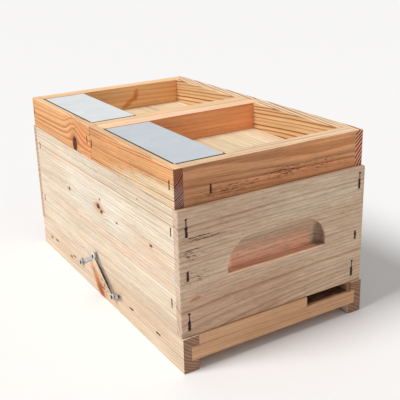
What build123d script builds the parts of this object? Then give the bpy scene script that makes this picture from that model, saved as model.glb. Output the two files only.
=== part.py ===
"""A two-colony nucleus beehive: floor, frame box with two compartments, two top feeders.

Millimetres, +Z up. The front, with the hand recess and the first entrance, faces -Y.
The origin is on the ground, at the middle of the whole hive's box.
"""

from build123d import *
from math import atan2, cos, degrees, hypot, sin
import os

# ---------------------------------------------------------------- driving dimensions
WIDTH = 295.0  # hive across, X
LENGTH = 500.0  # floor and frame box along Y
FLOOR_HEIGHT = 49.0
BOX_HEIGHT = 170.0
FEEDER_HEIGHT = 50.0
BOARD = 23.0  # thickness of the floor's and the box's boards
BOX_SETBACK = 3.0  # the box stands this much further back than the floor
EASE = 0.8  # radius of every sanded board edge
PAST = 1.0  # how far a cut runs past the board it cuts

# Floor
DECK = (15.0, 35.0)  # underside and top of the floor planks, from the ground
DECK_TENON = 11.0  # how far the planks run into the side boards
PLANK_COUNT = 4
FOOT_ROUND = 4.0  # rounded inner bottom corner of each side board's end
ENTRANCE = (197.0, 272.0)  # bee entrance, measured from the left edge of the hive
BAR_DEPTH = 22.0  # entrance bar along Y

# Frame box
LIP = 11.0  # outer lip of an end board, which covers the side board's end
REST_DEPTH = 18.0  # frame rest, below the top of the box
REST_WIDTH = 11.0  # frame rest, into the end board
PARTITION = 10.0
PARTITION_TENON = 6.0
DIVIDER = 1.5  # sheet above the partition, between the two sets of top bars
DIVIDER_KERF = 6.0
DIVIDER_DROP = 0.3  # top of the sheet, below the top of the box

# Hand recess, on each end board
RECESS_LEFT = 70.0  # from the left edge of the end board
RECESS_RIGHT = 228.0
RECESS_BOTTOM = 71.0  # from the bottom of the box
RECESS_TOP = 116.0
RECESS_DEPTH = 12.0
RECESS_CORNER = 38.0
RECESS_COVE = 11.0

# Frames: two sets of half-length frames, one in each compartment
FRAME_COUNT = 6
FRAME_PITCH = 38.0
TOP_BAR = (25.0, 10.0)  # width and thickness
TOP_BAR_GAP = 1.0
SIDE_BAR = 8.0
SIDE_BAR_GAP = 7.0  # bee space between a side bar and the box
FRAME_DROP = 8.0  # top of the frames, below the top of the box
FRAME_HEIGHT = 155.0
BOTTOM_BAR = (20.0, 8.0)
WAX = 2.0

# Feeders
FEEDER_WIDTH = 294.0
FEEDER_LENGTH = 243.0
FEEDER_BOARD = 24.0
FEEDER_SETBACK = 6.5  # front feeder behind the front of the box
FEEDER_GAP = 0.5  # between the two feeders
FEEDER_LIP = 13.0  # end of a side board, seen on the feeder's end
TANK_FLOOR = 9.0
TANK_TENON = 10.0
SLOT = (2.0, 22.0)  # bee slot in the tank floor, from the left board's inner face
SLOT_END = 17.0  # solid tank floor left at each end of the slot
CHIMNEY = (9.0, 29.0)  # thickness and height of the wall beside the bee slot
BAFFLE = 9.0
BAFFLE_GAP = 6.0  # syrup gap under the baffle
BAFFLE_FOOT = 15.0
PLATE_WIDTH = 71.0
PLATE = 1.0
PLATE_REBATE = 2.0  # depth of the plate's seat, below the top of the feeder
PLATE_LEDGE = 5.0  # how far the plate reaches over the front board
PLATE_PLAY = 0.4

# Staples
CROWN = 10.5
WIRE = 1.2
SUNK = 0.5  # the crown's depth under the face
LEG = 12.0
SLIT = 0.3  # how much wider than the crown the slit over it is, on each side
FEEDER_STAPLES = ((11.0, 28.0), (238.5, 25.5))  # on a feeder's side boards: from its front, height
CHIMNEY_STAPLE = 16.5  # height of the staple through the front board into the chimney wall

# Floor clips: two links on one box screw, forked over two floor screws, on each side
PIVOT = (9.0, 64.0)  # box screw, Y and Z
BACK_FOOT = (70.1, 29.5)  # floor screw of the back link
FRONT_FOOT = (-52.5, 22.0)  # floor screw of the front link
TAB_END = (-72.2, 30.6)  # finger tab on the front link
LINK = 1.2  # thickness of a link
LINK_PLAY = 0.3  # gap beside each link
STRIP = 5.6  # width of a link
EYE = 6.2
FORK = 6.4
FORK_THROAT = 2.3
TAB_HOLE = 1.6
SCREW = 2.0  # shank radius
FLOOR_HEAD = (4.6, 2.4)  # radius and height
PIVOT_HEAD = (5.4, 2.4)
SCREW_LENGTH = 18.0
SCREW_PLAY = 0.05
SPACER = 3.6  # radius of the sleeves that hold the front link off the wood
SPACER_HEIGHT = 1.0
CROSS = (1.1, 5.4, 1.3)  # width, length and depth of the driver recess
CROSS_TURN = 20.0

# ---------------------------------------------------------------- derived places
LEFT, RIGHT = -WIDTH / 2, WIDTH / 2
FLOOR_FRONT = -LENGTH / 2 - BOX_SETBACK / 2
FLOOR_BACK = FLOOR_FRONT + LENGTH
BOX_FRONT = FLOOR_FRONT + BOX_SETBACK
BOX_BACK = BOX_FRONT + LENGTH
BOX_MIDDLE = (BOX_FRONT + BOX_BACK) / 2
BOX_BASE = FLOOR_HEIGHT
BOX_TOP = BOX_BASE + BOX_HEIGHT
REST = BOX_TOP - REST_DEPTH
FEEDER_BASE = BOX_TOP
FEEDER_TOP = FEEDER_BASE + FEEDER_HEIGHT
FEEDER_LEFT, FEEDER_RIGHT = -FEEDER_WIDTH / 2, FEEDER_WIDTH / 2
FRONT_FEEDER = BOX_FRONT + FEEDER_SETBACK
REAR_FEEDER = FRONT_FEEDER + FEEDER_LENGTH + FEEDER_GAP

os.makedirs("parts", exist_ok=True)


# ---------------------------------------------------------------- helpers
def block(low, high, mode=Mode.ADD):
    """A rectangular block between two opposite corners, in the part being built."""
    middle = tuple((a + b) / 2 for a, b in zip(low, high))
    size = tuple(b - a for a, b in zip(low, high))
    with Locations(middle):
        Box(*size, mode=mode)


def x_span(side, near, far):
    """Low and high X of a stretch given by distances from the middle; side is -1 (left) or 1."""
    return tuple(sorted((side * near, side * far)))


def write_node(part, name):
    part.label = name
    export_step(part, f"parts/{name}.step")


def staple_bar(spot, run, half_width, depth):
    """A bar of a staple or of its slit, in the part being built.

    spot is the crown's middle on the face, the face's outward normal and the crown's direction.
    run is the bar's start and end along the crown, depth its start and end under the face.
    """
    place, face, along = (Vector(*item) for item in spot)
    across = face.cross(along)
    start = place + along * run[0] - across * half_width - face * depth[0]
    end = place + along * run[1] + across * half_width - face * depth[1]
    low = tuple(min(pair) for pair in zip(start, end))
    high = tuple(max(pair) for pair in zip(start, end))
    block(low, high)


def staple(spot):
    """A staple in the part being built, driven just under the face."""
    half = CROWN / 2
    staple_bar(spot, (-half, half), WIRE / 2, (SUNK, SUNK + WIRE))
    staple_bar(spot, (-half, WIRE - half), WIRE / 2, (SUNK, LEG))
    staple_bar(spot, (half - WIRE, half), WIRE / 2, (SUNK, LEG))


def staple_slit(spot):
    """The slit that a staple leaves in the wood, in the part being built."""
    half = CROWN / 2 + SLIT
    staple_bar(spot, (-half, half), WIRE / 2 + SLIT, (-PAST, SUNK + WIRE))
    staple(spot)


X_POS, X_NEG, Y_NEG, Y_POS = (1, 0, 0), (-1, 0, 0), (0, -1, 0), (0, 1, 0)
ALONG_Y, ALONG_Z = (0, 1, 0), (0, 0, 1)

# ---------------------------------------------------------------- staples
FLOOR_STAPLE_HEIGHT = (DECK[0] + DECK[1]) / 2
FLOOR_STAPLES = []
for y in (-184.5, -105.0, 105.0, 184.5):
    FLOOR_STAPLES.append(((LEFT, y, FLOOR_STAPLE_HEIGHT), X_NEG, ALONG_Y))
    FLOOR_STAPLES.append(((RIGHT, y, FLOOR_STAPLE_HEIGHT), X_POS, ALONG_Y))

BOX_STAPLES = []
# On the end boards: distance from the left edge, height
for x, z in (
    (11.5, 201.0),
    (11.2, 189.7),
    (11.5, 132.2),
    (11.8, 75.5),
    (11.2, 63.8),
    (286.0, 205.5),
    (285.6, 194.0),
    (282.0, 120.5),
    (278.4, 76.2),
    (277.8, 64.8),
):
    BOX_STAPLES.append(((LEFT + x, BOX_FRONT, z), Y_NEG, ALONG_Z))
    BOX_STAPLES.append(((RIGHT - x, BOX_BACK, z), Y_POS, ALONG_Z))
# On the side boards: distance from the front of the floor, height
for y, z in ((20.8, 187.5), (25.0, 89.5), (478.0, 188.0), (480.0, 92.0)):
    BOX_STAPLES.append(((LEFT, FLOOR_FRONT + y, z), X_NEG, ALONG_Z))
    BOX_STAPLES.append(((RIGHT, FLOOR_FRONT + y, z), X_POS, ALONG_Z))

with BuildPart() as floor_staples:
    for spot in FLOOR_STAPLES:
        staple(spot)
write_node(floor_staples.part, "floor_staples")

with BuildPart() as box_staples:
    for spot in BOX_STAPLES:
        staple(spot)
write_node(box_staples.part, "box_staples")

with BuildPart() as floor_slits:
    for spot in FLOOR_STAPLES:
        staple_slit(spot)

with BuildPart() as box_slits:
    for spot in BOX_STAPLES:
        staple_slit(spot)


# ---------------------------------------------------------------- clip screws
def link_plane(offset):
    """A plane across X whose local axes are the hive's Y and Z."""
    return Plane(origin=(offset, 0, 0), x_dir=(0, 1, 0), z_dir=(1, 0, 0))


def washer(place, side, radius, near, far):
    """A round disc or shank along X in the part being built; near and far are off the side face."""
    start = side * (WIDTH / 2 + near)
    end = side * (WIDTH / 2 + far)
    with Locations(Location(((start + end) / 2, *place), (0, 90, 0))):
        Cylinder(radius, abs(end - start))


def screw(place, side, head, under_head):
    """A pan-head wood screw in the part being built; side is -1 on the left and 1 on the right."""
    cross_width, cross_length, cross_depth = CROSS
    top = under_head + head[1]
    washer(place, side, SCREW, -SCREW_LENGTH, under_head)
    washer(place, side, head[0], under_head, top)
    with Locations((side * (WIDTH / 2 + top - cross_depth / 2), *place)):
        Box(cross_depth, cross_width, cross_length, rotation=(CROSS_TURN, 0, 0), mode=Mode.SUBTRACT)
        Box(cross_depth, cross_length, cross_width, rotation=(CROSS_TURN, 0, 0), mode=Mode.SUBTRACT)


# How far each thing stands off the side face: back link, then spacer, then front link
INNER_LAYER = LINK_PLAY
SPACER_LAYER = INNER_LAYER + LINK + LINK_PLAY
OUTER_LAYER = SPACER_LAYER + SPACER_HEIGHT + LINK_PLAY
OUTER_HEAD = OUTER_LAYER + LINK + LINK_PLAY

with BuildPart() as floor_screws:
    for side in (-1, 1):
        screw(BACK_FOOT, side, FLOOR_HEAD, SPACER_LAYER)
        screw(FRONT_FOOT, side, FLOOR_HEAD, OUTER_HEAD)
write_node(floor_screws.part, "clip_floor_screws")

with BuildPart() as pivot_screws:
    for side in (-1, 1):
        screw(PIVOT, side, PIVOT_HEAD, OUTER_HEAD)
write_node(pivot_screws.part, "clip_pivot_screws")

with BuildPart() as floor_spacers:
    for side in (-1, 1):
        washer(FRONT_FOOT, side, SPACER, 0, SPACER_LAYER + SPACER_HEIGHT)
    add(floor_screws.part, mode=Mode.SUBTRACT)
write_node(floor_spacers.part, "clip_floor_spacers")

with BuildPart() as pivot_spacers:
    for side in (-1, 1):
        washer(PIVOT, side, SPACER, SPACER_LAYER, SPACER_LAYER + SPACER_HEIGHT)
    add(pivot_screws.part, mode=Mode.SUBTRACT)
write_node(pivot_spacers.part, "clip_pivot_spacers")


# ---------------------------------------------------------------- floor
def floor_side(name, side):
    """A runner board with a groove for the planks and rounded inner foot corners."""
    outer = WIDTH / 2
    inner = outer - BOARD
    body = x_span(side, inner, outer)
    groove = x_span(side, inner - PAST, inner + DECK_TENON)
    with BuildPart() as board:
        block((body[0], FLOOR_FRONT, 0), (body[1], FLOOR_BACK, FLOOR_HEIGHT))
        feet = board.edges().filter_by(Axis.Y).sort_by(Axis.Z)[:2]
        fillet(feet.sort_by(lambda edge: abs(edge.center().X))[0], FOOT_ROUND)
        fillet(board.edges().filter_by(Axis.Y).sort_by(Axis.Z)[-2:], EASE)
        low = (groove[0], FLOOR_FRONT - PAST, DECK[0])
        block(low, (groove[1], FLOOR_BACK + PAST, DECK[1]), Mode.SUBTRACT)
        add(floor_slits.part, mode=Mode.SUBTRACT)
        add(floor_screws.part, mode=Mode.SUBTRACT)
    write_node(board.part, name)


floor_side("floor_side_left", -1)
floor_side("floor_side_right", 1)

PLANK_LEFT = LEFT + BOARD - DECK_TENON
PLANK_DEPTH = LENGTH / PLANK_COUNT
for number in range(PLANK_COUNT):
    front = FLOOR_FRONT + number * PLANK_DEPTH
    with BuildPart() as plank:
        block((PLANK_LEFT, front, DECK[0]), (-PLANK_LEFT, front + PLANK_DEPTH, DECK[1]))
        fillet(plank.edges().filter_by(Axis.X), EASE)
        add(floor_slits.part, mode=Mode.SUBTRACT)
        add(floor_screws.part, mode=Mode.SUBTRACT)
    write_node(plank.part, f"floor_plank_{number + 1}")

BAR_LEFT = LEFT + BOARD
BAR_RIGHT = LEFT + ENTRANCE[0]
with BuildPart() as front_entrance_bar:
    block((BAR_LEFT, FLOOR_FRONT, DECK[1]), (BAR_RIGHT, FLOOR_FRONT + BAR_DEPTH, FLOOR_HEIGHT))
    fillet(front_entrance_bar.edges(), EASE)
write_node(front_entrance_bar.part, "front_entrance_bar")

with BuildPart() as rear_entrance_bar:
    block((-BAR_RIGHT, FLOOR_BACK - BAR_DEPTH, DECK[1]), (-BAR_LEFT, FLOOR_BACK, FLOOR_HEIGHT))
    fillet(rear_entrance_bar.edges(), EASE)
write_node(rear_entrance_bar.part, "rear_entrance_bar")

PARTITION_FRONT = BOX_MIDDLE - PARTITION / 2
PARTITION_BACK = BOX_MIDDLE + PARTITION / 2
with BuildPart() as floor_divider:
    block((BAR_LEFT, PARTITION_FRONT, DECK[1]), (-BAR_LEFT, PARTITION_BACK, FLOOR_HEIGHT))
    fillet(floor_divider.edges().filter_by(Axis.X), EASE)
write_node(floor_divider.part, "floor_divider")


# ---------------------------------------------------------------- frame box
RECESS_X = LEFT + (RECESS_LEFT + RECESS_RIGHT) / 2
RECESS_Z = BOX_BASE + (RECESS_BOTTOM + RECESS_TOP) / 2
RECESS_FACE = Plane(origin=(RECESS_X, BOX_FRONT, RECESS_Z), x_dir=(1, 0, 0), z_dir=(0, -1, 0))

# The hollow of the hand recess: a sharp ledge below, coved walls at the sides and above
with BuildPart() as hand_recess:
    with BuildSketch(RECESS_FACE) as outline:
        Rectangle(RECESS_RIGHT - RECESS_LEFT, RECESS_TOP - RECESS_BOTTOM)
        fillet(outline.vertices().sort_by(Axis.Y)[-2:], RECESS_CORNER)
    extrude(amount=-RECESS_DEPTH)
    recess_back = hand_recess.faces().sort_by(Axis.Y)[-1]
    fillet(recess_back.edges().sort_by(Axis.Z)[1:], RECESS_COVE)

with BuildPart() as box_front:
    block((LEFT, BOX_FRONT, BOX_BASE), (RIGHT, BOX_FRONT + BOARD, BOX_TOP))
    fillet(box_front.edges(), EASE)
    # Lap for each side board
    for low_x, high_x in ((LEFT - PAST, LEFT + BOARD), (RIGHT - BOARD, RIGHT + PAST)):
        low = (low_x, BOX_FRONT + LIP, BOX_BASE - PAST)
        block(low, (high_x, BOX_FRONT + BOARD + PAST, BOX_TOP + PAST), Mode.SUBTRACT)
    # Frame rest along the top of the inner face
    rest_low = (LEFT + BOARD, BOX_FRONT + BOARD - REST_WIDTH, REST)
    block(rest_low, (RIGHT - BOARD, BOX_FRONT + BOARD + PAST, BOX_TOP + PAST), Mode.SUBTRACT)
    add(hand_recess.part, mode=Mode.SUBTRACT)
    add(box_slits.part, mode=Mode.SUBTRACT)
write_node(box_front.part, "box_front")

with BuildPart() as box_rear:
    with Locations(Location((0, 2 * BOX_MIDDLE, 0), (0, 0, 180))):
        add(box_front.part)
write_node(box_rear.part, "box_rear")


def box_side(name, side):
    """A side board, with a groove for the partition in its inner face."""
    outer = WIDTH / 2
    inner = outer - BOARD
    body = x_span(side, inner, outer)
    groove = x_span(side, inner - PAST, inner + PARTITION_TENON)
    with BuildPart() as board:
        block((body[0], BOX_FRONT + LIP, BOX_BASE), (body[1], BOX_BACK - LIP, BOX_TOP))
        fillet(board.edges(), EASE)
        low = (groove[0], PARTITION_FRONT, BOX_BASE - PAST)
        block(low, (groove[1], PARTITION_BACK, BOX_TOP + PAST), Mode.SUBTRACT)
        add(box_slits.part, mode=Mode.SUBTRACT)
        add(pivot_screws.part, mode=Mode.SUBTRACT)
    write_node(board.part, name)


box_side("box_side_left", -1)
box_side("box_side_right", 1)

PARTITION_LEFT = LEFT + BOARD - PARTITION_TENON
DIVIDER_LEFT = LEFT + BOARD
DIVIDER_FRONT = BOX_MIDDLE - DIVIDER / 2
DIVIDER_BACK = BOX_MIDDLE + DIVIDER / 2
with BuildPart() as divider_sheet:
    low = (DIVIDER_LEFT, DIVIDER_FRONT, REST - DIVIDER_KERF)
    block(low, (-DIVIDER_LEFT, DIVIDER_BACK, BOX_TOP - DIVIDER_DROP))
write_node(divider_sheet.part, "divider_sheet")

with BuildPart() as partition:
    block((PARTITION_LEFT, PARTITION_FRONT, BOX_BASE), (-PARTITION_LEFT, PARTITION_BACK, REST))
    add(divider_sheet.part, mode=Mode.SUBTRACT)
write_node(partition.part, "partition")

# ---------------------------------------------------------------- half-length frames
FRAMES_X = [(number - (FRAME_COUNT - 1) / 2) * FRAME_PITCH for number in range(FRAME_COUNT)]
FRAME_TOP = BOX_TOP - FRAME_DROP
FRAME_BOTTOM = FRAME_TOP - FRAME_HEIGHT
UNDER_TOP_BAR = FRAME_TOP - TOP_BAR[1]
OVER_BOTTOM_BAR = FRAME_BOTTOM + BOTTOM_BAR[1]


def frame_set(name, bar_ends, side_faces):
    """The frames of one compartment. bar_ends and side_faces are pairs of Y places."""
    inner_front = side_faces[0] + SIDE_BAR
    inner_back = side_faces[1] - SIDE_BAR
    half_top = TOP_BAR[0] / 2
    half_bottom = BOTTOM_BAR[0] / 2

    with BuildPart() as top_bars:
        for x in FRAMES_X:
            block((x - half_top, bar_ends[0], UNDER_TOP_BAR), (x + half_top, bar_ends[1], FRAME_TOP))
    write_node(top_bars.part, f"{name}_top_bars")

    with BuildPart() as side_bars:
        for x in FRAMES_X:
            for front in (side_faces[0], inner_back):
                low = (x - half_top, front, FRAME_BOTTOM)
                block(low, (x + half_top, front + SIDE_BAR, UNDER_TOP_BAR))
    write_node(side_bars.part, f"{name}_side_bars")

    with BuildPart() as bottom_bars:
        for x in FRAMES_X:
            low = (x - half_bottom, inner_front, FRAME_BOTTOM)
            block(low, (x + half_bottom, inner_back, OVER_BOTTOM_BAR))
    write_node(bottom_bars.part, f"{name}_bottom_bars")

    with BuildPart() as wax_sheets:
        for x in FRAMES_X:
            block((x - WAX / 2, inner_front, OVER_BOTTOM_BAR), (x + WAX / 2, inner_back, UNDER_TOP_BAR))
    write_node(wax_sheets.part, f"{name}_wax_sheets")


REST_END = BOX_FRONT + BOARD - REST_WIDTH + TOP_BAR_GAP
MIDDLE_END = DIVIDER_FRONT - TOP_BAR_GAP / 2
SIDE_BAR_FRONT = BOX_FRONT + BOARD + SIDE_BAR_GAP
SIDE_BAR_BACK = PARTITION_FRONT - SIDE_BAR_GAP
frame_set("front_frame", (REST_END, MIDDLE_END), (SIDE_BAR_FRONT, SIDE_BAR_BACK))
frame_set(
    "rear_frame",
    (2 * BOX_MIDDLE - MIDDLE_END, 2 * BOX_MIDDLE - REST_END),
    (2 * BOX_MIDDLE - SIDE_BAR_BACK, 2 * BOX_MIDDLE - SIDE_BAR_FRONT),
)


# ---------------------------------------------------------------- feeders
def feeder(name, front):
    """One top feeder, with its tank, bee slot, chimney wall, baffle and cover plate."""
    back = front + FEEDER_LENGTH
    inner_front = front + FEEDER_BOARD
    inner_back = back - FEEDER_BOARD
    inner_left = FEEDER_LEFT + FEEDER_BOARD
    lip_left = FEEDER_LEFT + FEEDER_LIP
    deck = FEEDER_BASE + TANK_FLOOR
    seat = FEEDER_TOP - PLATE_REBATE
    plate_right = lip_left + PLATE_WIDTH
    plate_front = inner_front - PLATE_LEDGE
    far_above = FEEDER_TOP + PAST

    # One through each end of both side boards, one through the front board into the chimney wall
    spots = []
    for y, z in FEEDER_STAPLES:
        spots.append(((FEEDER_LEFT, front + y, FEEDER_BASE + z), X_NEG, ALONG_Z))
        spots.append(((FEEDER_RIGHT, front + y, FEEDER_BASE + z), X_POS, ALONG_Z))
    chimney_middle = inner_left + SLOT[1] + CHIMNEY[0] / 2
    spots.append(((chimney_middle, front, FEEDER_BASE + CHIMNEY_STAPLE), Y_NEG, ALONG_Z))

    with BuildPart() as staples:
        for spot in spots:
            staple(spot)
    write_node(staples.part, f"{name}_staples")

    with BuildPart() as slits:
        for spot in spots:
            staple_slit(spot)

    for side_name, side in (("left", -1), ("right", 1)):
        outer = FEEDER_WIDTH / 2
        inner = outer - FEEDER_BOARD
        body = x_span(side, inner, outer)
        inside_lip = x_span(side, inner - PAST, outer - FEEDER_LIP)
        tenon = x_span(side, inner - PAST, inner + TANK_TENON)
        with BuildPart() as side_board:
            block((body[0], front, FEEDER_BASE), (body[1], back, FEEDER_TOP))
            fillet(side_board.edges(), EASE)
            # Laps for the front and rear boards, then the rebate for the tank floor
            for start, end in ((front - PAST, inner_front), (inner_back, back + PAST)):
                low = (inside_lip[0], start, FEEDER_BASE - PAST)
                block(low, (inside_lip[1], end, far_above), Mode.SUBTRACT)
            low = (tenon[0], inner_front, FEEDER_BASE - PAST)
            block(low, (tenon[1], inner_back, deck), Mode.SUBTRACT)
            if side_name == "left":
                low = (inside_lip[0], inner_front, seat)
                block(low, (inside_lip[1], inner_back, far_above), Mode.SUBTRACT)
            add(slits.part, mode=Mode.SUBTRACT)
        write_node(side_board.part, f"{name}_{side_name}_board")

    with BuildPart() as front_board:
        block((lip_left, front, FEEDER_BASE), (-lip_left, inner_front, FEEDER_TOP))
        fillet(front_board.edges().filter_by(Axis.X), EASE)
        low = (lip_left - PAST, inner_front - TANK_TENON, FEEDER_BASE - PAST)
        block(low, (PAST - lip_left, inner_front + PAST, deck), Mode.SUBTRACT)
        high = (plate_right + PLATE_PLAY, inner_front + PAST, far_above)
        block((lip_left - PAST, plate_front, seat), high, Mode.SUBTRACT)
        add(slits.part, mode=Mode.SUBTRACT)
    write_node(front_board.part, f"{name}_front_board")

    with BuildPart() as rear_board:
        block((lip_left, inner_back, FEEDER_BASE), (-lip_left, back, FEEDER_TOP))
        fillet(rear_board.edges().filter_by(Axis.X), EASE)
        low = (lip_left - PAST, inner_back - PAST, FEEDER_BASE - PAST)
        block(low, (PAST - lip_left, inner_back + TANK_TENON, deck), Mode.SUBTRACT)
    write_node(rear_board.part, f"{name}_rear_board")

    slot_left = inner_left + SLOT[0]
    slot_right = inner_left + SLOT[1]
    with BuildPart() as tank_floor:
        low = (inner_left - TANK_TENON, inner_front - TANK_TENON, FEEDER_BASE)
        block(low, (TANK_TENON - inner_left, inner_back + TANK_TENON, deck))
        low = (slot_left, inner_front + SLOT_END, FEEDER_BASE - PAST)
        block(low, (slot_right, inner_back - SLOT_END, deck + PAST), Mode.SUBTRACT)
    write_node(tank_floor.part, f"{name}_tank_floor")

    with BuildPart() as chimney:
        low = (slot_right, inner_front, deck)
        block(low, (slot_right + CHIMNEY[0], inner_back, deck + CHIMNEY[1]))
        fillet(chimney.edges().filter_by(Axis.Y).sort_by(Axis.Z)[-2:], EASE)
    write_node(chimney.part, f"{name}_chimney_wall")

    with BuildPart() as baffle:
        block((plate_right - BAFFLE, inner_front, deck), (plate_right, inner_back, seat))
        low = (plate_right - BAFFLE - PAST, inner_front + BAFFLE_FOOT, deck - PAST)
        high = (plate_right + PAST, inner_back - BAFFLE_FOOT, deck + BAFFLE_GAP)
        block(low, high, Mode.SUBTRACT)
    write_node(baffle.part, f"{name}_baffle_wall")

    with BuildPart() as plate:
        low = (lip_left + PLATE_PLAY, plate_front + PLATE_PLAY, seat)
        block(low, (plate_right, inner_back - PLATE_PLAY, seat + PLATE))
    write_node(plate.part, f"{name}_cover_plate")


feeder("front_feeder", FRONT_FEEDER)
feeder("rear_feeder", REAR_FEEDER)


# ---------------------------------------------------------------- floor clip links
def clip_link(name, side, foot, layer, tab=None):
    """A strip that hangs on the box screw, its foot forked over the shank of a floor screw.

    The fork is open straight down, for lifting the box, and square to the strip, for swinging it.
    """
    run_y = foot[0] - PIVOT[0]
    run_z = foot[1] - PIVOT[1]
    run = hypot(run_y, run_z)
    ahead = (run_y / run, run_z / run)
    outward = 1 if run_y > 0 else -1
    swing = (-outward * abs(ahead[1]), -abs(ahead[0]))
    throat_edge = (foot[0] - ahead[0] * FORK_THROAT, foot[1] - ahead[1] * FORK_THROAT)
    outer_edge = foot[0] + outward * FORK_THROAT
    reach = 2 * FORK
    start = side * (WIDTH / 2 + layer)

    with BuildPart() as link:
        with BuildSketch(link_plane(start)):
            with Locations(PIVOT):
                Circle(EYE)
            with Locations(foot):
                Circle(FORK)
            middle = ((PIVOT[0] + foot[0]) / 2, (PIVOT[1] + foot[1]) / 2)
            with Locations(Location((*middle, 0), (0, 0, degrees(atan2(run_z, run_y))))):
                Rectangle(run, STRIP)
            if tab:
                tab_run = hypot(tab[0] - foot[0], tab[1] - foot[1])
                tab_angle = atan2(tab[1] - foot[1], tab[0] - foot[0])
                tab_middle = (foot[0] + cos(tab_angle) * tab_run / 2, foot[1] + sin(tab_angle) * tab_run / 2)
                with Locations(Location((*tab_middle, 0), (0, 0, degrees(tab_angle)))):
                    Rectangle(tab_run, STRIP)
                with Locations(tab):
                    Circle(STRIP / 2)
                    Circle(TAB_HOLE, mode=Mode.SUBTRACT)
            with Locations(PIVOT):
                Circle(SCREW + SCREW_PLAY, mode=Mode.SUBTRACT)
            with Locations(foot):
                Circle(FORK_THROAT, mode=Mode.SUBTRACT)
            with BuildLine():
                Polyline(
                    foot,
                    throat_edge,
                    (throat_edge[0] + swing[0] * reach, throat_edge[1] + swing[1] * reach),
                    (outer_edge, foot[1] - reach),
                    (outer_edge, foot[1]),
                    close=True,
                )
            make_face(mode=Mode.SUBTRACT)
        extrude(amount=side * LINK)
    write_node(link.part, name)


for side_name, side in (("left", -1), ("right", 1)):
    clip_link(f"{side_name}_back_link", side, BACK_FOOT, INNER_LAYER)
    clip_link(f"{side_name}_front_link", side, FRONT_FOOT, OUTER_LAYER, TAB_END)
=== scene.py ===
"""The beehive's looks: wood, sheet metal, wax and steel for every piece, and a plain pale studio."""

from math import cos, pi, radians, sin, sqrt

import bpy
from mathutils import Euler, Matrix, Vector


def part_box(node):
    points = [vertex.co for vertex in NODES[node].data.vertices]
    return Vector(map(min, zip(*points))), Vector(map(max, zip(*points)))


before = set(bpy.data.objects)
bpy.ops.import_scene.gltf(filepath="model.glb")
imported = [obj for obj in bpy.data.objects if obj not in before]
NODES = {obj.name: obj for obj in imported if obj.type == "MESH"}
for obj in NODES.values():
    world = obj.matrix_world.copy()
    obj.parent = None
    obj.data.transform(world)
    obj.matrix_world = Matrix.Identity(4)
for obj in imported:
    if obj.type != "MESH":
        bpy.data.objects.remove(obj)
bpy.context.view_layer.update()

MM = 0.001
X_AXIS, Y_AXIS, Z_AXIS = Vector((1, 0, 0)), Vector((0, 1, 0)), Vector((0, 0, 1))
WHITE = (1.0, 1.0, 1.0, 1.0)


# ---------------------------------------------------------------- node graph helper
class Graph:
    """Writes shader nodes: every method returns an output socket, and takes sockets or plain values."""

    def __init__(self, tree):
        self.tree = tree

    def node(self, kind, inputs=None, **settings):
        made = self.tree.nodes.new(kind)
        for key, value in settings.items():
            setattr(made, key, value)
        for key, value in (inputs or {}).items():
            self.put(made.inputs[key], value)
        return made

    def put(self, socket, value):
        if isinstance(value, bpy.types.NodeSocket):
            self.tree.links.new(value, socket)
        elif value is not None:
            socket.default_value = value

    def math(self, operation, a, b=None, clamp=False):
        return self.node("ShaderNodeMath", {0: a, 1: b}, operation=operation, use_clamp=clamp).outputs[0]

    def vector(self, operation, a, b=None, scale=None):
        made = self.node("ShaderNodeVectorMath", {0: a, 1: b, 3: scale}, operation=operation)
        return made.outputs["Value" if operation in ("DOT_PRODUCT", "LENGTH") else "Vector"]

    def step(self, value, low, high, to_low=0.0, to_high=1.0):
        """A smooth step from to_low at low to to_high at high."""
        inputs = {"Value": value, "From Min": low, "From Max": high, "To Min": to_low, "To Max": to_high}
        return self.node("ShaderNodeMapRange", inputs, interpolation_type="SMOOTHSTEP").outputs["Result"]

    def noise(self, vector, detail=2.0, roughness=0.5, colour=False):
        inputs = {"Vector": vector, "Scale": 1.0, "Detail": detail, "Roughness": roughness}
        return self.node("ShaderNodeTexNoise", inputs).outputs["Color" if colour else "Fac"]

    def streaks(self, vector, along, across, detail=2.0, roughness=0.5, colour=False):
        """Noise drawn out along X; along and across are how many features it has to the metre."""
        stretched = self.vector("MULTIPLY", vector, (along, across, across))
        return self.noise(stretched, detail, roughness, colour)

    def mix(self, factor, a, b, blend="MIX"):
        made = self.node("ShaderNodeMix", data_type="RGBA", blend_type=blend)
        self.put(made.inputs[0], factor)
        self.put(made.inputs[6], a)
        self.put(made.inputs[7], b)
        return made.outputs[2]

    def stain(self, mask, body, tint):
        """Multiplies body by tint where mask is 1."""
        return self.mix(mask, body, self.mix(1.0, body, tint, "MULTIPLY"))

    def swing(self, value, size):
        """Half of size each way, from a value that runs from 0 to 1."""
        return self.math("MULTIPLY", self.math("SUBTRACT", value, 0.5), size)

    def hypot(self, a, b):
        """The length of a sloping line that goes a one way and b across it."""
        return self.math("SQRT", self.math("ADD", self.math("MULTIPLY", a, a), self.math("MULTIPLY", b, b)))

    def parts(self, vector):
        return self.node("ShaderNodeSeparateXYZ", {0: vector}).outputs

    def combine(self, x, y, z):
        return self.node("ShaderNodeCombineXYZ", {0: x, 1: y, 2: z}).outputs[0]

    def bump(self, height, strength, distance):
        inputs = {"Height": height, "Strength": strength, "Distance": distance}
        return self.node("ShaderNodeBump", inputs).outputs[0]


def new_material(name):
    """A material with an empty graph."""
    material = bpy.data.materials.new(name)
    material.use_nodes = True
    material.node_tree.nodes.clear()
    return material, Graph(material.node_tree)


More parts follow.
